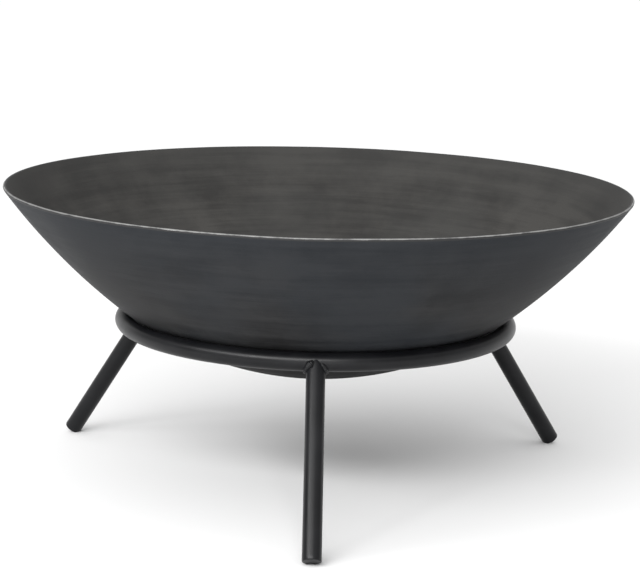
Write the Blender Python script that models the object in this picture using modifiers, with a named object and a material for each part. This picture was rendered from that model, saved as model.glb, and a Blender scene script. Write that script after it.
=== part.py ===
"""Fire pit with grate: a shallow steel fire bowl, a three-legged ring stand and a lift-out grate.

Metres, +Z up. The origin is on the ground, on the bowl's axis. One leg points to -Y.
"""

from math import acos, asin, cos, hypot, pi, radians, sin, sqrt

import bmesh
import bpy

# Driving dimensions, in metres
RIM_RADIUS = 0.2794  # a 22 in bowl
OVERALL_HEIGHT = 0.2663
GAP = 0.0003  # left between pieces that touch

BOWL_WALL = 0.003
BASE_ARC_RADIUS = 0.287  # outer surface, from the base to the change of curve
WALL_ARC_RADIUS = 0.563  # outer surface, from there to the rim: a flatter curve
ARC_CHANGE_RADIUS = 0.180  # how far out the two curves meet
BASE_FLAT_RADIUS = 0.045
BASE_ARC_STEPS = 8
WALL_ARC_STEPS = 5
LIP_STEPS = 4

BAR_RADIUS = 0.008  # 16 mm round bar, ring and legs
RING_RADIUS = 0.1724  # to the middle of the bar
LEG_TILT = radians(34.4)  # away from vertical
LEG_AZIMUTHS = {"front": radians(-90), "right": radians(30), "left": radians(150)}
FOOT_TRIM = 0.001  # ground off the foot's lowest edge, so that it stands flat
FOOT_ROUNDING = 0.0007
BAR_SIDES = 24

WELD_RADIUS = 0.002
WELD_START = radians(28)  # round the leg, from its upper side
WELD_END = radians(152)
WELD_POINTS = 14
WELD_TIP = 0.45  # thickness at the ends of a weld, as a share of its middle

GRATE_BAR_RADIUS = 0.004  # 8 mm round bar
GRATE_RING_RADIUS = 0.150
GRATE_BAR_COUNT = 9
GRATE_BAR_PITCH = 0.032
GRATE_BEARER_OFFSET = 0.060
GRATE_BAR_SIDES = 12

TURN_STEPS = 64  # round the bowl and both rings, so that their facets line up
RING_SIDES = 12
GRATE_RING_SIDES = 8
CUTTER_SIDES = 24
SHARP_ANGLE = radians(35)

# The bowl's outer surface is two arcs that meet smoothly. Angles are measured from straight down.
CHANGE_ANGLE = asin(ARC_CHANGE_RADIUS / BASE_ARC_RADIUS)
WALL_CENTRE_R = -(WALL_ARC_RADIUS - BASE_ARC_RADIUS) * sin(CHANGE_ANGLE)
LIP_RADIUS = BOWL_WALL / 2
MIDDLE_ARC_RADIUS = WALL_ARC_RADIUS - LIP_RADIUS
RIM_ANGLE = asin((RIM_RADIUS - LIP_RADIUS - WALL_CENTRE_R) / MIDDLE_ARC_RADIUS)
WALL_CENTRE_Z = OVERALL_HEIGHT - LIP_RADIUS + MIDDLE_ARC_RADIUS * cos(RIM_ANGLE)
BASE_CENTRE_Z = WALL_CENTRE_Z - (WALL_ARC_RADIUS - BASE_ARC_RADIUS) * cos(CHANGE_ANGLE)
BASE_FLAT_Z = BASE_CENTRE_Z - sqrt(BASE_ARC_RADIUS**2 - BASE_FLAT_RADIUS**2)

# The ring's bar touches the bowl from outside, and the grate's frame touches it from inside.
RING_Z = BASE_CENTRE_Z - sqrt((BASE_ARC_RADIUS + BAR_RADIUS + GAP) ** 2 - RING_RADIUS**2)
GRATE_CLEARANCE = 2 * GAP
GRATE_SEAT_RADIUS = BASE_ARC_RADIUS - BOWL_WALL - GRATE_BAR_RADIUS - GRATE_CLEARANCE
GRATE_Z = BASE_CENTRE_Z - sqrt(GRATE_SEAT_RADIUS**2 - GRATE_RING_RADIUS**2)
GRATE_BAR_RISE = 2 * GRATE_BAR_RADIUS + GAP

# A leg runs from the middle of the ring's bar until its lowest edge is FOOT_TRIM below the ground.
LEG_LENGTH = (RING_Z + FOOT_TRIM - BAR_RADIUS * sin(LEG_TILT)) / cos(LEG_TILT)


def clear_scene():
    for obj in list(bpy.data.objects):
        bpy.data.objects.remove(obj, do_unlink=True)


def new_collection(name):
    collection = bpy.data.collections.new(name)
    bpy.context.scene.collection.children.link(collection)
    return collection


def new_material(name, colour, roughness, metallic):
    material = bpy.data.materials.new(name)
    material.use_nodes = True
    shader = material.node_tree.nodes["Principled BSDF"]
    shader.inputs["Base Color"].default_value = (*colour, 1.0)
    shader.inputs["Roughness"].default_value = roughness
    shader.inputs["Metallic"].default_value = metallic
    return material


def new_empty(name, location, collection):
    empty = bpy.data.objects.new(name, None)
    empty.location = location
    collection.objects.link(empty)
    return empty


def finish_mesh(mesh):
    mesh.shade_smooth()
    mesh.set_sharp_from_angle(angle=SHARP_ANGLE)


def place(name, data, material, collection, parent=None):
    obj = bpy.data.objects.new(name, data)
    data.materials.append(material)
    obj.parent = parent
    collection.objects.link(obj)
    return obj


def bar_mesh(name, radius, length, sides):
    """A straight round bar along Z, with its middle at the origin."""
    mesh = bpy.data.meshes.new(name)
    built = bmesh.new()
    bmesh.ops.create_cone(
        built, cap_ends=True, segments=sides, radius1=radius, radius2=radius, depth=length
    )
    built.to_mesh(mesh)
    built.free()
    finish_mesh(mesh)
    return mesh


def ring_mesh(name, centre_radius, bar_radius, sides):
    """A round bar bent into a full circle about Z, as a mesh."""
    bpy.ops.mesh.primitive_torus_add(
        major_radius=centre_radius,
        minor_radius=bar_radius,
        major_segments=TURN_STEPS,
        minor_segments=sides,
    )
    helper = bpy.context.object
    mesh = helper.data
    mesh.name = name
    bpy.data.objects.remove(helper)
    finish_mesh(mesh)
    return mesh


def bowl_side(inset):
    """Points of one side of the bowl, from the flat base out to the rim, inset from the outer surface."""
    base_radius = BASE_ARC_RADIUS - inset
    wall_radius = WALL_ARC_RADIUS - inset
    flat_angle = acos((BASE_CENTRE_Z - BASE_FLAT_Z - inset) / base_radius)
    points = []
    for step in range(BASE_ARC_STEPS + 1):
        angle = flat_angle + (CHANGE_ANGLE - flat_angle) * step / BASE_ARC_STEPS
        points.append((base_radius * sin(angle), BASE_CENTRE_Z - base_radius * cos(angle)))
    for step in range(1, WALL_ARC_STEPS + 1):
        angle = CHANGE_ANGLE + (RIM_ANGLE - CHANGE_ANGLE) * step / WALL_ARC_STEPS
        points.append(
            (WALL_CENTRE_R + wall_radius * sin(angle), WALL_CENTRE_Z - wall_radius * cos(angle))
        )
    return points


def bowl_lip():
    """The half-round edge of the rim, from the inner side over the top to the outer side."""
    centre_r = WALL_CENTRE_R + MIDDLE_ARC_RADIUS * sin(RIM_ANGLE)
    centre_z = WALL_CENTRE_Z - MIDDLE_ARC_RADIUS * cos(RIM_ANGLE)
    points = []
    for step in range(1, LIP_STEPS):
        angle = RIM_ANGLE + pi - pi * step / LIP_STEPS
        points.append((centre_r + LIP_RADIUS * sin(angle), centre_z - LIP_RADIUS * cos(angle)))
    return points


def make_bowl(material, collection):
    inner_centre = (0.0, BASE_FLAT_Z + BOWL_WALL)
    outer_centre = (0.0, BASE_FLAT_Z)
    inner = bowl_side(BOWL_WALL)
    outer = bowl_side(0.0)
    profile = [inner_centre, *inner, *bowl_lip(), *reversed(outer), outer_centre]
    mesh = bpy.data.meshes.new("bowl")
    built = bmesh.new()
    corners = [built.verts.new((r, 0.0, z)) for r, z in profile]
    for start, end in zip(corners, corners[1:]):
        built.edges.new((start, end))
    built.to_mesh(mesh)
    built.free()
    bowl = place("bowl", mesh, material, collection)
    turn = bowl.modifiers.new("Turn", "SCREW")
    turn.axis = "Z"
    turn.angle = 2 * pi
    turn.steps = TURN_STEPS
    turn.render_steps = TURN_STEPS
    turn.use_merge_vertices = True
    turn.merge_threshold = 0.00001
    return bowl


def make_stand_ring(material, collection, stand):
    mesh = ring_mesh("stand_ring", RING_RADIUS, BAR_RADIUS, RING_SIDES)
    ring = place("stand_ring", mesh, material, collection, stand)
    ring.location = (0.0, 0.0, RING_Z)
    return ring


def make_cutter(name, mesh, location, cutters):
    cutter = bpy.data.objects.new(name, mesh)
    cutter.location = location
    cutter.hide_render = True
    cutter.display_type = "WIRE"
    cutters.objects.link(cutter)
    return cutter


def make_ring_cutter(cutters):
    """The ring's bar with its gap, which cuts the saddle at the top of each leg."""
    mesh = ring_mesh("ring_cutter", RING_RADIUS, BAR_RADIUS + GAP, CUTTER_SIDES)
    return make_cutter("ring_cutter", mesh, (0.0, 0.0, RING_Z), cutters)


def make_ground_cutter(cutters):
    """A slab under the ground, which cuts the flat that each foot stands on."""
    mesh = bpy.data.meshes.new("ground_cutter")
    built = bmesh.new()
    bmesh.ops.create_cube(built, size=2 * OVERALL_HEIGHT)
    built.to_mesh(mesh)
    built.free()
    slab = make_cutter("ground_cutter", mesh, (0.0, 0.0, -OVERALL_HEIGHT), cutters)
    slab.scale = (2.0, 2.0, 1.0)
    return slab


def make_leg(place_name, azimuth, material, collection, stand, cutters):
    name = f"{place_name}_leg"
    mesh = bar_mesh(name, BAR_RADIUS, LEG_LENGTH, BAR_SIDES)
    for vertex in mesh.vertices:
        vertex.co.z -= LEG_LENGTH / 2
    leg = place(name, mesh, material, collection, stand)
    leg.location = (RING_RADIUS * cos(azimuth), RING_RADIUS * sin(azimuth), RING_Z)
    leg.rotation_euler = (0.0, -LEG_TILT, azimuth)
    rounding = leg.modifiers.new("Foot edge", "BEVEL")
    rounding.width = FOOT_ROUNDING
    rounding.segments = 2
    rounding.limit_method = "ANGLE"
    rounding.angle_limit = SHARP_ANGLE
    for cutter in cutters:
        cut = leg.modifiers.new(cutter.name, "BOOLEAN")
        cut.operation = "DIFFERENCE"
        cut.object = cutter
    return leg


def weld_point(angle):
    """Middle of a weld, tangent to the leg and to the ring, for a leg at azimuth zero.

    The angle runs round the leg's axis from its upper side, and the point is found along the leg
    by halving the span in which the distance to the ring's bar passes its target.
    """
    reach = BAR_RADIUS + GAP + WELD_RADIUS
    out_r = reach * cos(angle) * cos(LEG_TILT)
    out_side = reach * sin(angle)
    out_z = reach * cos(angle) * sin(LEG_TILT)

    def at(down):
        r = RING_RADIUS + out_r + down * sin(LEG_TILT)
        return r, out_side, RING_Z + out_z - down * cos(LEG_TILT)

    near, far = 0.0, 2 * reach
    for _ in range(40):
        middle = (near + far) / 2
        x, y, z = at(middle)
        if hypot(hypot(x, y) - RING_RADIUS, z - RING_Z) < reach:
            near = middle
        else:
            far = middle
    return at(far)


def make_weld(place_name, azimuth, side, sign, material, collection, stand):
    """One of the two beads that fill the corner between a leg and the ring."""
    name = f"{place_name}_leg_weld_{side}"
    curve = bpy.data.curves.new(name, "CURVE")
    curve.dimensions = "3D"
    curve.bevel_depth = WELD_RADIUS
    curve.bevel_resolution = 2
    curve.use_fill_caps = True
    spline = curve.splines.new("POLY")
    spline.points.add(WELD_POINTS - 1)
    for index, point in enumerate(spline.points):
        share = index / (WELD_POINTS - 1)
        angle = sign * (WELD_START + (WELD_END - WELD_START) * share)
        point.co = (*weld_point(angle), 1.0)
        point.radius = WELD_TIP + (1 - WELD_TIP) * sin(pi * share) ** 0.5
    weld = place(name, curve, material, collection, stand)
    weld.rotation_euler = (0.0, 0.0, azimuth)
    return weld


def make_grate_bar(name, length, offset, height, along_x, material, collection, grate):
    """A straight bar of the grate, along X or Y, at its offset from the middle."""
    mesh = bar_mesh(name, GRATE_BAR_RADIUS, length, GRATE_BAR_SIDES)
    bar = place(name, mesh, material, collection, grate)
    if along_x:
        bar.location = (0.0, offset, height)
        bar.rotation_euler = (0.0, pi / 2, 0.0)
    else:
        bar.location = (offset, 0.0, height)
        bar.rotation_euler = (pi / 2, 0.0, 0.0)
    return bar


def chord(radius, offset):
    """Length of a round bar at this offset whose end edges stay inside the radius."""
    return 2 * sqrt(radius**2 - (abs(offset) + GRATE_BAR_RADIUS) ** 2)


def make_grate(material, collection, grate):
    mesh = ring_mesh("grate_ring", GRATE_RING_RADIUS, GRATE_BAR_RADIUS, GRATE_RING_SIDES)
    place("grate_ring", mesh, material, collection, grate)
    inside = GRATE_RING_RADIUS - GRATE_BAR_RADIUS - 2 * GAP
    for name, offset in (("front", -GRATE_BEARER_OFFSET), ("back", GRATE_BEARER_OFFSET)):
        length = chord(inside, offset)
        make_grate_bar(
            f"grate_bearer_{name}", length, offset, 0.0, True, material, collection, grate
        )
    outside = GRATE_RING_RADIUS + GRATE_BAR_RADIUS
    for index in range(GRATE_BAR_COUNT):
        offset = (index - (GRATE_BAR_COUNT - 1) / 2) * GRATE_BAR_PITCH
        length = chord(outside, offset)
        make_grate_bar(
            f"grate_bar_{index + 1}",
            length,
            offset,
            GRATE_BAR_RISE,
            False,
            material,
            collection,
            grate,
        )


def main():
    clear_scene()
    parts = new_collection("fire_pit_with_grate")
    cutters = new_collection("cutters")
    bowl_steel = new_material("bowl_steel", (0.050, 0.051, 0.054), 0.50, 0.6)
    stand_paint = new_material("stand_paint", (0.020, 0.020, 0.022), 0.45, 0.0)
    grate_steel = new_material("grate_steel", (0.045, 0.041, 0.037), 0.60, 0.7)

    stand = new_empty("stand", (0.0, 0.0, 0.0), parts)
    grate = new_empty("grate", (0.0, 0.0, GRATE_Z), parts)
    make_bowl(bowl_steel, parts)
    make_stand_ring(stand_paint, parts, stand)
    leg_cutters = (make_ring_cutter(cutters), make_ground_cutter(cutters))
    for place_name, azimuth in LEG_AZIMUTHS.items():
        make_leg(place_name, azimuth, stand_paint, parts, stand, leg_cutters)
        for side, sign in (("left", -1), ("right", 1)):
            make_weld(place_name, azimuth, side, sign, stand_paint, parts, stand)
    make_grate(grate_steel, parts, grate)


main()
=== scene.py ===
"""The looks of the fire pit with grate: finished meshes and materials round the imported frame."""

from math import asin, atan2, cos, hypot, pi, radians, sin, sqrt, tau

import bmesh
import bpy
import numpy as np
from mathutils import Matrix, Vector


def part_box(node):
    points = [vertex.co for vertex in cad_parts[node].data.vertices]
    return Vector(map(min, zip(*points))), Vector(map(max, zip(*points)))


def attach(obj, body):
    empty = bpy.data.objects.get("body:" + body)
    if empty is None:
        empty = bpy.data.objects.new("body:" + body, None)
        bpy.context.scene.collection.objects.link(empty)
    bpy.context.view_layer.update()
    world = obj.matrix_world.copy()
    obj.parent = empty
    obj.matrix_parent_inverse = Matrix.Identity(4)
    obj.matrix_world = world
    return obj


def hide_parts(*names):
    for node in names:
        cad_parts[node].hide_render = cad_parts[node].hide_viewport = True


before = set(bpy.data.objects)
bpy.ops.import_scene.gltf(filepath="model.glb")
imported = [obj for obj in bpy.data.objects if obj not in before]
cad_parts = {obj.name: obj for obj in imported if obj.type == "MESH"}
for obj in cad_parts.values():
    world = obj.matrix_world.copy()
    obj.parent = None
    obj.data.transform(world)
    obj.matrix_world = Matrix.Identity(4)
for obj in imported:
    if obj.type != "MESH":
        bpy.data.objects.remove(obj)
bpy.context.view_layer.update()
SCENE = bpy.context.scene

# Places read from the frame, in metres
BOWL_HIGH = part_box("bowl")[1]
RING_LOW, RING_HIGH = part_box("stand_ring")
GRATE_LOW, GRATE_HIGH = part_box("grate_ring")
BAR_RADIUS = (RING_HIGH.z - RING_LOW.z) / 2
RING_RADIUS = RING_HIGH.x - BAR_RADIUS
RING_Z = (RING_HIGH.z + RING_LOW.z) / 2
GRATE_BAR_RADIUS = (GRATE_HIGH.z - GRATE_LOW.z) / 2
GRATE_RADIUS = GRATE_HIGH.x - GRATE_BAR_RADIUS
GRATE_Z = (GRATE_HIGH.z + GRATE_LOW.z) / 2

# The bowl's section: two arcs that meet smoothly, as in the CAD, and a half-round lip.
# Angles are measured from straight down.
BOWL_WALL = 0.003
BASE_ARC_RADIUS = 0.287
WALL_ARC_RADIUS = 0.563
ARC_CHANGE_RADIUS = 0.180
BASE_FLAT_RADIUS = 0.045
LIP_RADIUS = BOWL_WALL / 2
CHANGE_ANGLE = asin(ARC_CHANGE_RADIUS / BASE_ARC_RADIUS)
WALL_CENTRE_R = -(WALL_ARC_RADIUS - BASE_ARC_RADIUS) * sin(CHANGE_ANGLE)
MIDDLE_ARC_RADIUS = WALL_ARC_RADIUS - LIP_RADIUS
RIM_ANGLE = asin((BOWL_HIGH.x - LIP_RADIUS - WALL_CENTRE_R) / MIDDLE_ARC_RADIUS)
WALL_CENTRE_Z = BOWL_HIGH.z - LIP_RADIUS + MIDDLE_ARC_RADIUS * cos(RIM_ANGLE)
BASE_CENTRE_Z = WALL_CENTRE_Z - (WALL_ARC_RADIUS - BASE_ARC_RADIUS) * cos(CHANGE_ANGLE)
BASE_FLAT_ANGLE = asin(BASE_FLAT_RADIUS / BASE_ARC_RADIUS)
BASE_FLAT_Z = BASE_CENTRE_Z - BASE_ARC_RADIUS * cos(BASE_FLAT_ANGLE)
LIP_R = WALL_CENTRE_R + MIDDLE_ARC_RADIUS * sin(RIM_ANGLE)
LIP_Z = WALL_CENTRE_Z - MIDDLE_ARC_RADIUS * cos(RIM_ANGLE)

# Legs, from the middle of the ring's bar to the ground
LEG_TILT = radians(34.4)
LEG_AZIMUTHS = {"front": radians(-90), "right": radians(30), "left": radians(150)}
LEG_TOP_ROUNDING = 0.001
FOOT_TRIM = 0.001
FOOT_ROUNDING = 0.0009
LEG_LENGTH = (RING_Z + FOOT_TRIM - BAR_RADIUS * sin(LEG_TILT)) / cos(LEG_TILT)

# Weld beads, which start beside the leg's upper side and end near its lower side
WELD_REACH = 0.0088  # from the middles of both bars, so that the bead sinks into the corner
WELD_RADIUS = 0.0023
WELD_END = radians(154)
WELD_BODY = 0.80
WELD_WIDTH = 1.12
WELD_HEIGHT = 0.85
WELD_LEAN = 0.35
WELD_LUMP_PLACE = 0.0042  # along the bead, from where it starts
WELD_LUMP_LENGTH = 0.0028
WELD_RIPPLE = 0.0017
WELD_RIPPLE_SHIFT = 0.6  # how far the ripples move off their even spacing, in radians
WELD_SHIFT_RATE = 900  # radians per metre
WELD_TROUGH = 0.90  # thickness between the ripples, as a share
WELD_CREST = 0.15  # what a ripple adds to that share
WELD_TIP = 0.004  # share of the bead at each end that doesn't thin out further
WELD_END_POWER = 0.275  # the smaller, the blunter the ends
WELD_BEADS = (  # side seen from outside, way round the leg, angle where it starts, size of its lump
    ("left", -1, radians(15), 0.80),
    ("right", 1, radians(30), 0.15),
)

# Grate
GRATE_BAR_ROUNDING = 0.0006
FILLET_SIZE = (0.0024, 0.0031, 0.0024)
FILLET_SPREAD = (0.85, 1.15)
FILLET_RATES = (2900, 3300, 3100)  # of its unevenness along x, y and z, in radians per metre
FILLET_UNEVENNESS = 0.10
FILLET_OFFSET = 0.78  # from a bar's middle, as a share of its radius
FILLET_SINK = 0.0012  # of the fillets at the ends of the bearers

# Mesh fineness
TURN_COLUMNS = 360
FLAT_ROWS = 4
BASE_ROWS = 34
WALL_ROWS = 22
LIP_ROWS = 12
BAR_SIDES = 48
LEG_ROWS = 48
WELD_ROWS = 150
WELD_SIDES = 24
GRATE_SIDES = 28
GRATE_ROWS = 24
SHARP_ANGLE = radians(40)

# Bowl finish: heights in metres
STREAK_SQUEEZE = 60.0  # noise steps per metre across the turning streaks, against one per radian along
STREAK_SLOPE = 0.6  # what a metre of radius counts for, against one of height
RIM_SHEEN_BAND = 0.075  # the height below the rim where a painted reflection starts, the tint drawn in as a lighter sheen, to grow up to the rim
PAINTED_SHADE_ABOVE = 0.012  # the height above the middle of the ring's bar where the painted shade starts, for the shade where the ring meets the bowl
PAINTED_SHADE_BELOW = 0.022  # the height below the middle of the ring's bar where the painted shade is full

# Colours, linear
# The outside's colours are about three fifths of the inside's: painted shade, the same iron drawn darker
# outside, where the bowl faces down and away from the lamps.
OUTSIDE_DARK = (0.0155, 0.0155, 0.0160)
OUTSIDE_LIGHT = (0.0315, 0.0315, 0.0322)
# The tint below is both the iron's own tinted patches and a painted reflection, a lighter and bluer sheen
# near the rim.
OUTSIDE_TINT_AND_SHEEN = (0.0215, 0.0250, 0.0300)
INSIDE_DARK = (0.025, 0.024, 0.023)
INSIDE_LIGHT = (0.051, 0.049, 0.046)
# The tint below is both the iron's own tinted patches and a painted reflection, a lighter sheen near the
# rim.
INSIDE_TINT_AND_SHEEN = (0.038, 0.038, 0.037)
# Painted shade: the black that the bowl is drawn towards from just above the ring down, for the shade
# between bowl and ring and under the bowl
PAINTED_SHADE_BLACK = (0.0, 0.0, 0.0)
RUBBED_IRON = (0.27, 0.27, 0.265)
PAINT_DARK = (0.0034, 0.0035, 0.0042)
PAINT_LIGHT = (0.0062, 0.0064, 0.0074)
RUBBED_STEEL = (0.16, 0.155, 0.15)
SCALE_DARK = (0.022, 0.021, 0.021)
SCALE_LIGHT = (0.050, 0.047, 0.045)
SCALE_BROWN = (0.070, 0.044, 0.030)
PIT_GREY = (0.13, 0.125, 0.12)
FLOOR_NEAR = (0.77, 0.77, 0.77)
FLOOR_FAR = (0.95, 0.95, 0.95)

# Camera: angles in radians, lens and sensor in millimetres
CAMERA_PLACE = (-0.0128, -1.926, 0.545)
CAMERA_HEADING = 0.0084
CAMERA_PITCH = 0.194
CAMERA_ROLL = 0.0259
CAMERA_RISE = 0.005
CAMERA_LENS = 122.45
SENSOR_WIDTH = 36.0

# Studio
FLOOR_REACH = 30.0
FLOOR_NEAR_DISTANCE = 1.0
FLOOR_FAR_DISTANCE = 4.0
DOME_HORIZON = 0.25
DOME_TOP = 1.4
BACKDROP_GLOW = 0.9
BACKDROP_TOP = 0.14  # the height, as the sine of an elevation, where the backdrop starts to fade
BACKDROP_FADE = 0.06
LAMP_TARGET = (0.0, 0.0, 0.15)
SOFTBOXES = (  # name, place, width, height, watts
    ("key", (-0.67, -2.34, 1.73), 2.4, 0.55, 76.0),
    ("key_left", (-1.99, -1.39, 1.73), 1.6, 0.55, 28.0),
    ("front_fill", (0.2, -2.9, 0.5), 1.6, 0.7, 10.0),
    ("left_edge", (-1.5, 1.6, 0.7), 0.8, 1.2, 1.2),
)


# ---------------------------------------------------------------- mesh helpers


def grid_mesh(name, points, wrap_rows=False):
    """A closed mesh over a grid of points. Columns wrap round; the end rows wrap too, or are capped."""
    rows, columns, _ = points.shape
    index = np.arange(rows * columns).reshape(rows, columns)
    upper = index if wrap_rows else index[:-1]
    lower = np.roll(index, -1, axis=0) if wrap_rows else index[1:]
    corners = [upper, lower, np.roll(lower, -1, axis=1), np.roll(upper, -1, axis=1)]
    faces = np.stack(corners, axis=-1).reshape(-1, 4).tolist()
    vertices = points.reshape(-1, 3).tolist()
    if not wrap_rows:
        for row, turned in ((0, False), (rows - 1, True)):
            pole = len(vertices)
            vertices.append(points[row].mean(axis=0).tolist())
            ring = index[row].tolist()
            for here, there in zip(ring, ring[1:] + ring[:1]):
                faces.append([there, here, pole] if turned else [here, there, pole])
    mesh = bpy.data.meshes.new(name)
    mesh.from_pydata(vertices, [], faces)
    smooth_outwards(mesh)
    return mesh


def smooth_outwards(mesh):
    """Turns every face outwards and shades the mesh smooth, apart from its sharp edges."""
    built = bmesh.new()
    built.from_mesh(mesh)
    bmesh.ops.recalc_face_normals(built, faces=built.faces)
    built.to_mesh(mesh)
    built.free()
    mesh.shade_smooth()
    mesh.set_sharp_from_angle(angle=SHARP_ANGLE)


def add_piece(name, mesh, materials, body, slot, *replaced):
    """An object that rides on a body, takes the given materials and stands for the replaced nodes; the slot
    is not used.
    """
    piece = bpy.data.objects.new(name, mesh)
    for material in materials:
        mesh.materials.append(material)
    SCENE.collection.objects.link(piece)
    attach(piece, body)
    if replaced:
        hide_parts(*replaced)
    return piece


def bar_section(length, radius, rows, start_rounding, end_rounding, corner_steps=5):
    """(distance, radius) along a straight bar whose end edges are rounded, without the two poles."""
    section = []
    for step in range(corner_steps + 1):
        turn = pi / 2 * step / corner_steps
        section.append(
            (start_rounding * (1 - cos(turn)), radius - start_rounding * (1 - sin(turn)))
        )
    inner = np.linspace(start_rounding, length - end_rounding, rows + 1)[1:-1]
    section += [(float(distance), radius) for distance in inner]
    for step in range(corner_steps + 1):
        turn = pi / 2 * (1 - step / corner_steps)
        section.append(
            (length - end_rounding * (1 - cos(turn)), radius - end_rounding * (1 - sin(turn)))
        )
    return np.array(section)


def bar_points(start, direction, section, sides):
    """Points of a round bar from its start along a direction, one row for each point of its section."""
    along = Vector(direction).normalized()
    across = along.cross(Vector((0.0, 0.0, 1.0))).normalized()
    third = across.cross(along)
    angles = np.linspace(0, tau, sides, endpoint=False)
    rim = np.outer(np.cos(angles), across) + np.outer(np.sin(angles), third)
    middle = np.array(start) + section[:, :1] * np.array(along)
    return middle[:, None, :] + section[:, 1][:, None, None] * rim[None]


def ring_points(radius, bar_radius, height, columns, sides):
    """Points of a round bar bent into a level ring."""
    turns = np.linspace(0, tau, columns, endpoint=False)[:, None]
    angles = np.linspace(0, tau, sides, endpoint=False)[None, :]
    out = radius + bar_radius * np.cos(angles)
    x = out * np.cos(turns)
    y = out * np.sin(turns)
    z = np.broadcast_to(height + bar_radius * np.sin(angles), x.shape)
    return np.stack([x, y, z], axis=-1)


def swell(points, size, wavelength, seed, waves=7):
    """A smooth unevenness of up to about this size, as a sum of waves in fixed directions."""
    draw = np.random.default_rng(seed)
    total = np.zeros(points.shape[:-1])
    for _ in range(waves):
        direction = draw.normal(size=3)
        direction /= np.linalg.norm(direction)
        stretch = draw.uniform(0.6, 1.7)
        phase = draw.uniform(0, tau)
        total += np.sin(points @ direction * (tau / (wavelength * stretch)) + phase)
    return size * total / waves * 2


# ---------------------------------------------------------------- bowl


def bowl_section():
    """Rows of (r, z, outward r, outward z) from the inner centre over the lip to the outer centre.

    The numbers of inner rows and lip rows come with them.
    """
    inner, outer = [], []
    for step in range(1, FLAT_ROWS):
        radius = BASE_FLAT_RADIUS * (step / FLAT_ROWS)
        inner.append((radius, BASE_FLAT_Z + BOWL_WALL, 0.0, -1.0))
        outer.append((radius, BASE_FLAT_Z, 0.0, -1.0))
    arcs = [
        (BASE_FLAT_ANGLE, CHANGE_ANGLE, BASE_ROWS, BASE_ARC_RADIUS, 0.0, BASE_CENTRE_Z),
        (CHANGE_ANGLE, RIM_ANGLE, WALL_ROWS, WALL_ARC_RADIUS, WALL_CENTRE_R, WALL_CENTRE_Z),
    ]
    for start, end, rows, radius, centre_r, centre_z in arcs:
        for step in range(rows):
            angle = start + (end - start) * (step + 1) / rows
            for side, inset in ((inner, BOWL_WALL), (outer, 0.0)):
                reach = radius - inset
                r = centre_r + reach * sin(angle)
                z = centre_z - reach * cos(angle)
                side.append((r, z, sin(angle), -cos(angle)))
    lip = []
    for step in range(1, LIP_ROWS):
        angle = RIM_ANGLE + pi - pi * step / LIP_ROWS
        r = LIP_R + LIP_RADIUS * sin(angle)
        z = LIP_Z - LIP_RADIUS * cos(angle)
        lip.append((r, z, sin(RIM_ANGLE), -cos(RIM_ANGLE)))
    return np.array(inner + lip + outer[::-1]), len(inner), len(lip)


def turned(values_r, values_z):
    """A grid of points or directions turned round the bowl's axis, one row for each (r, z)."""
    angles = np.linspace(0, tau, TURN_COLUMNS, endpoint=False)
    around = np.stack([np.cos(angles), np.sin(angles)], axis=-1)
    flat = values_r[:, None, None] * around[None]
    height = np.repeat(values_z[:, None], TURN_COLUMNS, axis=1)
    return np.concatenate([flat, height[..., None]], axis=-1)


def make_bowl(outside, inside, lip_metal):
    """The bowl, in one closed mesh with its own material outside, inside and on the lip."""
    section, inner_rows, lip_rows = bowl_section()
    points = turned(section[:, 0], section[:, 1])
    outward = turned(section[:, 2], section[:, 3])
    share_of_radius = np.clip(section[:, 0] / BOWL_HIGH.x, 0, 1)[:, None]
    unevenness = swell(points, size=0.00022, wavelength=0.11, seed=5) * share_of_radius
    points = points + outward * unevenness[..., None]
    mesh = grid_mesh("fire_bowl", points)
    bowl = add_piece("fire_bowl", mesh, [outside, inside, lip_metal], "bowl", "bowl_iron", "bowl")
    for face in mesh.polygons:
        row = min(face.vertices) // TURN_COLUMNS
        if row < inner_rows - 1:
            face.material_index = 1
        elif row < inner_rows + lip_rows:
            face.material_index = 2
    return bowl


# ---------------------------------------------------------------- stand


def make_stand_ring(paint):
    """The stand's ring: one round bar, very slightly out of flat."""
    points = ring_points(RING_RADIUS, BAR_RADIUS, RING_Z, TURN_COLUMNS, BAR_SIDES)
    points[..., 2] += swell(points, size=0.00012, wavelength=0.2, seed=11)
    mesh = grid_mesh("ring_bar", points, wrap_rows=True)
    return add_piece("ring_bar", mesh, [paint], "stand", "stand_paint", "stand_ring")


def leg_frame(azimuth):
    """Start, direction, upper side and anticlockwise side, seen from above, of the leg at an azimuth."""
    out = Vector((cos(azimuth), sin(azimuth), 0.0))
    start = out * RING_RADIUS + Vector((0.0, 0.0, RING_Z))
    along = out * sin(LEG_TILT) - Vector((0.0, 0.0, cos(LEG_TILT)))
    upper = out * cos(LEG_TILT) + Vector((0.0, 0.0, sin(LEG_TILT)))
    side = Vector((-sin(azimuth), cos(azimuth), 0.0))
    return start, along, upper, side


def make_leg(place, azimuth, paint):
    """A straight round bar from inside the ring's bar, with its foot ground flat on the floor."""
    start, along, _, _ = leg_frame(azimuth)
    section = bar_section(LEG_LENGTH, BAR_RADIUS, LEG_ROWS, LEG_TOP_ROUNDING, FOOT_ROUNDING)
    points = bar_points(start, along, section, BAR_SIDES)
    points[..., 2] = np.maximum(points[..., 2], 0.0)
    name = f"leg_bar_{place}"
    return add_piece(name, grid_mesh(name, points), [paint], "stand", "stand_paint", f"{place}_leg")


def ring_distance(point):
    """How far a point is from the line along the middle of the ring's bar."""
    return hypot(hypot(point.x, point.y) - RING_RADIUS, point.z - RING_Z)


def corner_point(azimuth, angle, reach):
    """The point at this distance from both the leg's axis and the ring's bar, at an angle round the leg."""
    start, along, upper, side = leg_frame(azimuth)
    base = start + upper * (reach * cos(angle)) + side * (reach * sin(angle))
    near, far = 0.0, 2 * reach
    for _ in range(32):
        middle = (near + far) / 2
        if ring_distance(base + along * middle) < reach:
            near = middle
        else:
            far = middle
    return base + along * far


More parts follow.
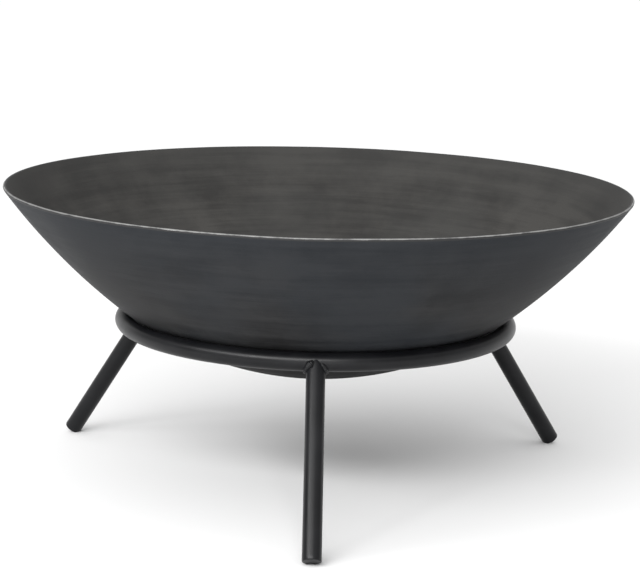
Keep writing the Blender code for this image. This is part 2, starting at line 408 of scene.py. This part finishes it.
def bead_sizes(shares, travelled, lump):
    """A bead's thickness along its way: round ends, a lump where it was started, and ripples."""
    ends = np.sin(pi * np.clip(shares, WELD_TIP, 1 - WELD_TIP)) ** WELD_END_POWER
    from_lump = (travelled - WELD_LUMP_PLACE) / WELD_LUMP_LENGTH
    thick = WELD_RADIUS * (WELD_BODY + lump * np.exp(-(from_lump**2)))
    shift = WELD_RIPPLE_SHIFT * np.sin(travelled * WELD_SHIFT_RATE)
    ripple = np.abs(np.sin(pi * travelled / WELD_RIPPLE + shift))
    return thick * ends * (WELD_TROUGH + WELD_CREST * ripple)


def make_weld(place, azimuth, side_name, sign, start_angle, lump, paint):
    """A rippled bead in the corner between a leg and the ring, thickest where it was started."""
    shares = np.linspace(0, 1, WELD_ROWS)
    sweep = [sign * (start_angle + (WELD_END - start_angle) * share) for share in shares]
    path = np.array([corner_point(azimuth, angle, WELD_REACH) for angle in sweep])
    along = np.gradient(path, axis=0)
    along /= np.linalg.norm(along, axis=1)[:, None]
    travelled = np.concatenate([[0], np.cumsum(np.linalg.norm(np.diff(path, axis=0), axis=1))])
    centre = np.array(leg_frame(azimuth)[0])
    lift = path - centre
    lift -= (lift * along).sum(axis=1)[:, None] * along
    lift /= np.linalg.norm(lift, axis=1)[:, None]
    across = np.cross(along, lift)
    angles = np.linspace(0, tau, WELD_SIDES, endpoint=False)
    ring = np.cos(angles)[None, :, None] * across[:, None] * WELD_WIDTH
    ring = ring + np.sin(angles)[None, :, None] * lift[:, None] * WELD_HEIGHT
    lean = np.sin(angles)[None, :, None] * along[:, None] * WELD_LEAN
    size = bead_sizes(shares, travelled, lump)
    points = path[:, None] + size[:, None, None] * (ring - lean)
    unevenness = swell(points, size=0.00022, wavelength=0.006, seed=21)
    points += lift[:, None] * unevenness[..., None]
    name = f"weld_bead_{place}_{side_name}"
    node = f"{place}_leg_weld_{side_name}"
    return add_piece(name, grid_mesh(name, points), [paint], "stand", "stand_paint", node)


# ---------------------------------------------------------------- grate


def make_grate_ring(steel):
    """The grate's frame: one round bar, very slightly out of flat."""
    points = ring_points(GRATE_RADIUS, GRATE_BAR_RADIUS, GRATE_Z, TURN_COLUMNS, GRATE_SIDES)
    points[..., 2] += swell(points, size=0.0001, wavelength=0.15, seed=31)
    mesh = grid_mesh("grate_frame", points, wrap_rows=True)
    return add_piece("grate_frame", mesh, [steel], "grate", "grate_steel", "grate_ring")


def make_grate_bar(node, steel, seed):
    """A straight bar in the place of a bar or a bearer of the CAD grate."""
    low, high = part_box(node)
    middle = (low + high) / 2
    size = high - low
    along = Vector((1, 0, 0)) if size.x > size.y else Vector((0, 1, 0))
    length = max(size.x, size.y)
    section = bar_section(
        length, GRATE_BAR_RADIUS, GRATE_ROWS, GRATE_BAR_ROUNDING, GRATE_BAR_ROUNDING, corner_steps=3
    )
    points = bar_points(middle - along * length / 2, along, section, GRATE_SIDES)
    points[..., 2] += swell(points, size=0.00015, wavelength=0.12, seed=seed)
    name = f"{node}_rod"
    return add_piece(name, grid_mesh(name, points), [steel], "grate", "grate_steel", node)


def add_fillet(built, place, tangent, draw):
    """A small uneven drop of weld metal, turned to a horizontal tangent and longest across it."""
    around = Matrix.Rotation(atan2(tangent.y, tangent.x), 4, "Z")
    size = Matrix.Diagonal((*FILLET_SIZE, 1.0)) * draw.uniform(*FILLET_SPREAD)
    size[3][3] = 1.0
    made = bmesh.ops.create_icosphere(
        built, subdivisions=3, radius=1.0, matrix=Matrix.Translation(place) @ around @ size
    )
    rate_x, rate_y, rate_z = FILLET_RATES
    for vertex in made["verts"]:
        wave = sin(vertex.co.x * rate_x) * sin(vertex.co.y * rate_y) * sin(vertex.co.z * rate_z)
        vertex.co += (vertex.co - place) * (FILLET_UNEVENNESS * wave)


def make_grate_welds(bars, bearers, steel):
    """Small fillets on both sides of each bar, at the frame and the bearers, and at the bearers' ends."""
    draw = np.random.default_rng(7)
    built = bmesh.new()
    eastwards = Vector((1, 0, 0))
    seam = GRATE_Z + GRATE_BAR_RADIUS
    beside = GRATE_BAR_RADIUS * FILLET_OFFSET
    for bar in bars:
        low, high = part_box(bar)
        x = (low.x + high.x) / 2
        reach = sqrt(GRATE_RADIUS**2 - x**2)
        for y in (-reach, reach):
            tangent = Vector((-y, x, 0.0)).normalized()
            for sign in (-1, 1):
                place = Vector((x, y, seam)) + tangent * (sign * beside)
                add_fillet(built, place, tangent, draw)
        for bearer in bearers:
            bearer_low, bearer_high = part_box(bearer)
            y = (bearer_low.y + bearer_high.y) / 2
            for sign in (-1, 1):
                add_fillet(built, Vector((x + sign * beside, y, seam)), eastwards, draw)
    for bearer in bearers:
        low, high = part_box(bearer)
        for x in (low.x, high.x):
            place = Vector((x, (low.y + high.y) / 2, seam - FILLET_SINK))
            add_fillet(built, place, eastwards, draw)
    mesh = bpy.data.meshes.new("grate_fillets")
    built.to_mesh(mesh)
    built.free()
    smooth_outwards(mesh)
    return add_piece("grate_fillets", mesh, [steel], "grate", "grate_steel")


# ---------------------------------------------------------------- materials


class Surface:
    """A Principled material under construction: nodes are added by kind, sockets set by name."""

    def __init__(self, name):
        self.material = bpy.data.materials.new(name)
        self.material.use_nodes = True
        self.tree = self.material.node_tree
        self.shader = self.tree.nodes["Principled BSDF"]
        self.place = self.add("ShaderNodeTexCoord").outputs["Object"]

    def add(self, kind, **sockets):
        node = self.tree.nodes.new(kind)
        for name, value in sockets.items():
            self.put(node.inputs[name.replace("_", " ")], value)
        return node

    def put(self, socket, value):
        """Links a socket to another node's output, or sets its constant."""
        if isinstance(value, bpy.types.NodeSocket):
            self.tree.links.new(value, socket)
        else:
            socket.default_value = value

    def finish(self, **sockets):
        """Sets the shader's own sockets, with spaces for underscores, and gives the material."""
        for name, value in sockets.items():
            self.put(self.shader.inputs[name.replace("_", " ")], value)
        return self.material

    def math(self, operation, first, second=0.0):
        node = self.add("ShaderNodeMath")
        node.operation = operation
        self.put(node.inputs[0], first)
        self.put(node.inputs[1], second)
        return node.outputs[0]

    def noise(self, vector, scale, detail, roughness=0.55):
        node = self.add(
            "ShaderNodeTexNoise", Vector=vector, Scale=scale, Detail=detail, Roughness=roughness
        )
        return node.outputs["Fac"]

    def ramp(self, value, low, high, to_low=0.0, to_high=1.0):
        """Maps a value's span from low to high onto another span, and holds it outside."""
        node = self.add("ShaderNodeMapRange", Value=value)
        node.inputs["From Min"].default_value = low
        node.inputs["From Max"].default_value = high
        node.inputs["To Min"].default_value = to_low
        node.inputs["To Max"].default_value = to_high
        return node.outputs["Result"]

    def mix(self, share, first, second):
        """Mixes two colours, each a triple or another node's output."""
        node = self.add("ShaderNodeMix")
        node.data_type = "RGBA"
        self.put(node.inputs["Factor"], share)
        for socket, value in ((node.inputs[6], first), (node.inputs[7], second)):
            self.put(socket, value if isinstance(value, bpy.types.NodeSocket) else (*value, 1.0))
        return node.outputs[2]

    def bump(self, height, distance, strength, under=None):
        """A normal from a height, on top of the normal of the bump under it."""
        node = self.add("ShaderNodeBump", Height=height, Distance=distance, Strength=strength)
        if under is not None:
            self.put(node.inputs["Normal"], under)
        return node.outputs["Normal"]

    def from_axis(self):
        """(x, y, distance from the object's upright axis, height)."""
        x, y, z = self.add("ShaderNodeSeparateXYZ", Vector=self.place).outputs
        squares = self.math("ADD", self.math("MULTIPLY", x, x), self.math("MULTIPLY", y, y))
        return x, y, self.math("MAXIMUM", self.math("SQRT", squares), 0.001), z


def bowl_iron(name, dark, light, tint_and_sheen, roughness):
    """Raw dark iron with turning streaks, mottling and fine grain, with painted shade from just above the
    ring down and a painted reflection that grows towards the rim.
    """
    surface = Surface(name)
    x, y, r, z = surface.from_axis()
    across = surface.math("ADD", z, surface.math("MULTIPLY", r, STREAK_SLOPE))
    round_axis = surface.add(
        "ShaderNodeCombineXYZ",
        X=surface.math("DIVIDE", x, r),
        Y=surface.math("DIVIDE", y, r),
        Z=surface.math("MULTIPLY", across, STREAK_SQUEEZE),
    ).outputs["Vector"]
    streaks = surface.noise(round_axis, scale=1.6, detail=5.0, roughness=0.62)
    fine_streaks = surface.noise(round_axis, scale=9.0, detail=2.0)
    mottle = surface.noise(surface.place, scale=16.0, detail=6.0, roughness=0.62)
    stain = surface.noise(surface.place, scale=7.0, detail=3.0, roughness=0.5)
    grain = surface.noise(surface.place, scale=900.0, detail=2.0)
    tone = surface.math("ADD", streaks, surface.math("MULTIPLY", mottle, 1.2))
    colour = surface.mix(surface.ramp(tone, 0.90, 1.30), dark, light)
    # painted reflection: the colour drawn lighter towards the rim as a sheen; the patches below are the
    # iron's own tint
    painted_rim_sheen = surface.ramp(z, BOWL_HIGH.z - RIM_SHEEN_BAND, BOWL_HIGH.z, to_high=0.6)
    patches = surface.ramp(stain, 0.42, 0.60, to_high=0.5)
    colour = surface.mix(surface.math("MAXIMUM", painted_rim_sheen, patches), colour, tint_and_sheen)
    # painted shade: darker from just above the ring down, where the ring and the bowl shade each other and
    # the bowl's underside is in shade
    painted_shade = surface.ramp(z, RING_Z + PAINTED_SHADE_ABOVE, RING_Z - PAINTED_SHADE_BELOW, to_high=0.85)
    fine = surface.bump(grain, distance=0.00006, strength=0.5)
    rings = surface.bump(fine_streaks, distance=0.00022, strength=0.35, under=fine)
    return surface.finish(
        Base_Color=surface.mix(painted_shade, colour, PAINTED_SHADE_BLACK),
        Roughness=surface.ramp(tone, 0.90, 1.30, roughness - 0.06, roughness + 0.06),
        Specular_IOR_Level=0.05,
        Normal=surface.bump(mottle, distance=0.0006, strength=0.35, under=rings),
    )


def bowl_lip():
    """The rim's edge: iron rubbed bright along the crest of its rounding."""
    surface = Surface("bowl_lip")
    _, _, r, z = surface.from_axis()
    out = surface.math("MULTIPLY", surface.math("SUBTRACT", r, LIP_R), cos(RIM_ANGLE))
    up = surface.math("MULTIPLY", surface.math("SUBTRACT", z, LIP_Z), sin(RIM_ANGLE))
    wear = surface.noise(surface.place, scale=60.0, detail=5.0, roughness=0.65)
    height = surface.math("ADD", surface.math("ADD", out, up), surface.math("MULTIPLY", wear, 0.0007))
    rubbed = surface.ramp(height, LIP_RADIUS * 1.10, LIP_RADIUS * 1.22)
    grain = surface.noise(surface.place, scale=900.0, detail=2.0)
    return surface.finish(
        Base_Color=surface.mix(rubbed, OUTSIDE_DARK, RUBBED_IRON),
        Roughness=surface.ramp(rubbed, 0.0, 1.0, 0.55, 0.36),
        Metallic=surface.math("MULTIPLY", rubbed, 0.8),
        Specular_IOR_Level=0.3,
        Normal=surface.bump(grain, distance=0.00005, strength=0.4),
    )


def stand_paint():
    """Satin black paint on round bar, rubbed through along the line where the bowl rests."""
    surface = Surface("satin_black_paint")
    _, _, r, z = surface.from_axis()
    contact_turn = asin(RING_RADIUS / (BASE_ARC_RADIUS + BAR_RADIUS))
    off_r = surface.math("SUBTRACT", r, RING_RADIUS - BAR_RADIUS * sin(contact_turn))
    off_z = surface.math("SUBTRACT", z, RING_Z + BAR_RADIUS * cos(contact_turn))
    square_r = surface.math("MULTIPLY", off_r, off_r)
    square_z = surface.math("MULTIPLY", off_z, off_z)
    from_contact = surface.math("SQRT", surface.math("ADD", square_r, square_z))
    patches = surface.noise(surface.place, scale=90.0, detail=4.0, roughness=0.65)
    ragged = surface.math("ADD", from_contact, surface.math("MULTIPLY", patches, -0.004))
    rubbed = surface.ramp(ragged, -0.0008, -0.0016)
    peel = surface.noise(surface.place, scale=700.0, detail=2.0)
    cloud = surface.noise(surface.place, scale=35.0, detail=4.0)
    black = surface.mix(surface.ramp(cloud, 0.35, 0.65), PAINT_DARK, PAINT_LIGHT)
    orange_peel = surface.bump(peel, distance=0.00008, strength=0.45)
    return surface.finish(
        Base_Color=surface.mix(rubbed, black, RUBBED_STEEL),
        Roughness=surface.ramp(cloud, 0.3, 0.7, 0.31, 0.38),
        Metallic=surface.math("MULTIPLY", rubbed, 0.7),
        Specular_IOR_Level=0.22,
        Normal=surface.bump(cloud, distance=0.0004, strength=0.3, under=orange_peel),
    )


def grate_steel():
    """Mild steel bar darkened by heat, with brown and grey scale."""
    surface = Surface("heat_scaled_steel")
    scale = surface.noise(surface.place, scale=130.0, detail=6.0, roughness=0.65)
    patches = surface.noise(surface.place, scale=28.0, detail=4.0, roughness=0.6)
    pits = surface.noise(surface.place, scale=700.0, detail=3.0)
    colour = surface.mix(surface.ramp(scale, 0.35, 0.65), SCALE_DARK, SCALE_LIGHT)
    colour = surface.mix(surface.ramp(patches, 0.50, 0.68, to_high=0.7), colour, SCALE_BROWN)
    fine = surface.bump(pits, distance=0.0001, strength=0.5)
    return surface.finish(
        Base_Color=surface.mix(surface.ramp(pits, 0.60, 0.75, to_high=0.5), colour, PIT_GREY),
        Roughness=surface.ramp(scale, 0.3, 0.7, 0.50, 0.72),
        Metallic=0.2,
        Normal=surface.bump(scale, distance=0.0004, strength=0.5, under=fine),
    )


def floor_white():
    """Plain white, a little darker near the object, where the lamps are strongest."""
    surface = Surface("studio_floor")
    distance = surface.add("ShaderNodeVectorMath", Vector=surface.place)
    distance.operation = "LENGTH"
    far = surface.ramp(distance.outputs["Value"], FLOOR_NEAR_DISTANCE, FLOOR_FAR_DISTANCE)
    return surface.finish(
        Base_Color=surface.mix(far, FLOOR_NEAR, FLOOR_FAR), Roughness=0.9, Specular_IOR_Level=0.1
    )


# ---------------------------------------------------------------- studio


def make_camera():
    """The photo's view of the object."""
    data = bpy.data.cameras.new("camera")
    data.lens = CAMERA_LENS
    data.sensor_width = SENSOR_WIDTH
    data.shift_y = CAMERA_RISE
    data.dof.use_dof = False
    camera = bpy.data.objects.new("camera", data)
    ahead = cos(CAMERA_PITCH)
    forward = Vector(
        (sin(CAMERA_HEADING) * ahead, cos(CAMERA_HEADING) * ahead, -sin(CAMERA_PITCH))
    )
    level = forward.cross(Vector((0, 0, 1))).normalized()
    upright = level.cross(forward)
    right = level * cos(CAMERA_ROLL) + upright * sin(CAMERA_ROLL)
    up = right.cross(forward)
    turn = Matrix((right, up, -forward)).transposed()
    camera.rotation_mode = "QUATERNION"
    camera.rotation_quaternion = turn.to_quaternion()
    camera.location = CAMERA_PLACE
    SCENE.collection.objects.link(camera)
    SCENE.camera = camera


def make_dome():
    """A dome that is bright overhead and dim lower down, over a low pale backdrop at the horizon."""
    world = bpy.data.worlds.new("studio")
    SCENE.world = world
    world.use_nodes = True
    tree = world.node_tree
    direction = tree.nodes.new("ShaderNodeTexCoord").outputs["Generated"]
    parts = tree.nodes.new("ShaderNodeSeparateXYZ")
    tree.links.new(direction, parts.inputs["Vector"])

    def rise(from_low, from_high, to_low, to_high):
        """Brightness against the height of a direction, from 0 at the horizon to 1 overhead."""
        node = tree.nodes.new("ShaderNodeMapRange")
        tree.links.new(parts.outputs["Z"], node.inputs["Value"])
        node.inputs["From Min"].default_value = from_low
        node.inputs["From Max"].default_value = from_high
        node.inputs["To Min"].default_value = to_low
        node.inputs["To Max"].default_value = to_high
        return node

    dome = rise(0.0, 1.0, DOME_HORIZON, DOME_TOP)
    dome.interpolation_type = "SMOOTHSTEP"
    backdrop = rise(BACKDROP_TOP, BACKDROP_TOP + BACKDROP_FADE, BACKDROP_GLOW, 0.0)
    strength = tree.nodes.new("ShaderNodeMath")
    strength.operation = "MAXIMUM"
    tree.links.new(dome.outputs["Result"], strength.inputs[0])
    tree.links.new(backdrop.outputs["Result"], strength.inputs[1])
    background = tree.nodes["Background"]
    background.inputs["Color"].default_value = (1.0, 1.0, 1.0, 1.0)
    tree.links.new(strength.outputs["Value"], background.inputs["Strength"])


def make_floor():
    """A flat white floor that reaches far past the camera."""
    built = bmesh.new()
    bmesh.ops.create_grid(built, x_segments=4, y_segments=4, size=FLOOR_REACH)
    mesh = bpy.data.meshes.new("floor")
    built.to_mesh(mesh)
    built.free()
    mesh.materials.append(floor_white())
    floor = bpy.data.objects.new("floor", mesh)
    SCENE.collection.objects.link(floor)


def add_softbox(name, place, width, height, power):
    """A rectangular lamp that faces the object."""
    data = bpy.data.lights.new(name, "AREA")
    data.shape = "RECTANGLE"
    data.size = width
    data.size_y = height
    data.energy = power
    light = bpy.data.objects.new(name, data)
    light.location = place
    light.rotation_mode = "QUATERNION"
    light.rotation_quaternion = (Vector(LAMP_TARGET) - Vector(place)).to_track_quat("-Z", "Y")
    SCENE.collection.objects.link(light)


def make_studio():
    """Everything round the object that lights it."""
    SCENE.view_settings.view_transform = "Standard"
    make_dome()
    make_floor()
    for softbox in SOFTBOXES:
        add_softbox(*softbox)


# ---------------------------------------------------------------- assembly


def make_stand():
    paint = stand_paint()
    make_stand_ring(paint)
    for place, azimuth in LEG_AZIMUTHS.items():
        make_leg(place, azimuth, paint)
        for side_name, sign, start_angle, lump in WELD_BEADS:
            make_weld(place, azimuth, side_name, sign, start_angle, lump, paint)


def make_grate():
    steel = grate_steel()
    make_grate_ring(steel)
    bars = [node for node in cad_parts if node.startswith("grate_bar_")]
    bearers = [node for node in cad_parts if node.startswith("grate_bearer_")]
    for seed, node in enumerate(sorted(bars) + sorted(bearers), start=40):
        make_grate_bar(node, steel, seed)
    make_grate_welds(bars, bearers, steel)


def main():
    make_camera()
    make_studio()
    # the same iron outside and inside, the outside drawn darker as painted shade
    outside = bowl_iron("bowl_outside", OUTSIDE_DARK, OUTSIDE_LIGHT, OUTSIDE_TINT_AND_SHEEN, 0.55)
    inside = bowl_iron("bowl_inside", INSIDE_DARK, INSIDE_LIGHT, INSIDE_TINT_AND_SHEEN, 0.58)
    make_bowl(outside, inside, bowl_lip())
    make_stand()
    make_grate()


main()
